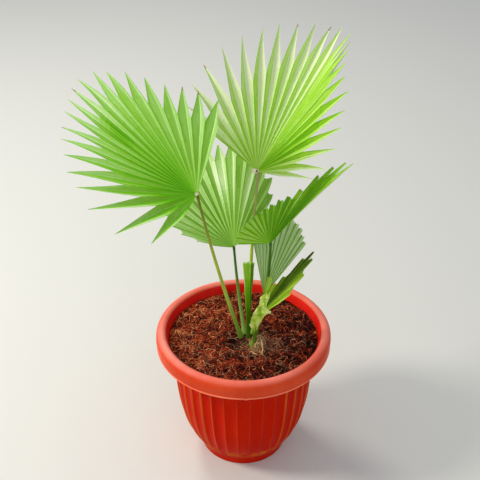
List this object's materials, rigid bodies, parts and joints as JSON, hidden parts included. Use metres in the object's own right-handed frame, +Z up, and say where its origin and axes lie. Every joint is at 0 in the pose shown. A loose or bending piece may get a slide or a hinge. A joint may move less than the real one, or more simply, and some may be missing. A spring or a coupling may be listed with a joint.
{
  "type": "potted chinese fan palm",
  "caption": "Young fan palm with pleated round fans on slender stalks, rising from a short stem in a fluted plastic pot filled with coir.",
  "frame": {"origin": "centre of the pot's flat underside", "axes": "+Z up; the front of the plant, seen in the reference view, faces -Y; +X is to the right in that view"},
  "size_m": [0.4577, 0.3309, 0.7472],
  "materials": {
    "pot_plastic": "terracotta red moulded plastic, satin gloss, dusty at the foot",
    "coir": "red brown coir fibre, damp and matt",
    "stem_fibre": "pale brown fibrous stem base, matt",
    "stalk_green": "yellow green stalk, browner to the hub, satin",
    "leaf_green": "bright green pleated leaf, satin",
    "sheath_green": "pale yellow green torn sheath, satin"
  },
  "bodies": {
    "root": {"pot": "pot_plastic", "coir_fill": "coir", "stem_base": "stem_fibre", "spear_leaf": "leaf_green", "torn_sheath": "sheath_green", "stalk_left": "stalk_green", "fan_left": "leaf_green", "stalk_tall": "stalk_green", "fan_tall": "leaf_green", "stalk_middle": "stalk_green", "fan_middle": "leaf_green", "stalk_right": "stalk_green", "fan_right": "leaf_green", "stalk_back": "stalk_green", "fan_back": "leaf_green", "stalk_front": "stalk_green", "fan_front": "leaf_green"}
  },
  "joints": []
}
